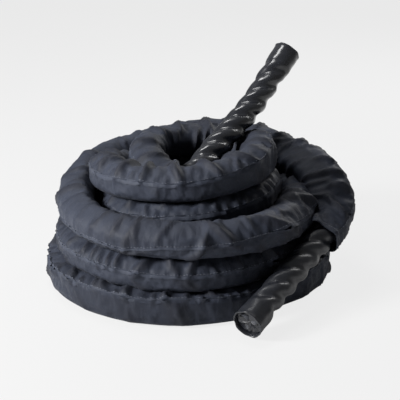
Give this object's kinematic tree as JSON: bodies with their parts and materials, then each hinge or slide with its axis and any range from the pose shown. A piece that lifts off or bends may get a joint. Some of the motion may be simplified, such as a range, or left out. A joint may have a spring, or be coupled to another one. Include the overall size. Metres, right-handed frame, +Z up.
{
  "type": "battle rope",
  "caption": "Battle rope in a loose woven sleeve, laid down as a pile of coils, with a lobed shrink-film grip sticking out at each end.",
  "frame": {"origin": "middle of the footprint, on the floor that the coil lies on", "axes": "+Z up, -Y towards the side that the picture shows, +X to that side's right, where the free lower end comes down"},
  "size_m": [0.5252, 0.5276, 0.3671],
  "materials": {
    "woven_nylon": "plain woven nylon, matte charcoal",
    "binding_tape": "narrow woven tape, matte",
    "polyester_rope": "laid polyester yarn, matte black",
    "shrink_film": "black shrink film, semi-gloss",
    "whipping_tape": "black adhesive tape, satin"
  },
  "bodies": {
    "root": {"sleeve": "woven_nylon", "binding_lower": "binding_tape", "binding_upper": "binding_tape", "rope_core": "polyester_rope", "grip_lower": "shrink_film", "grip_upper": "shrink_film", "end_cap_lower": "shrink_film", "end_cap_upper": "shrink_film", "whipping_lower": "whipping_tape", "whipping_upper": "whipping_tape"}
  },
  "joints": []
}
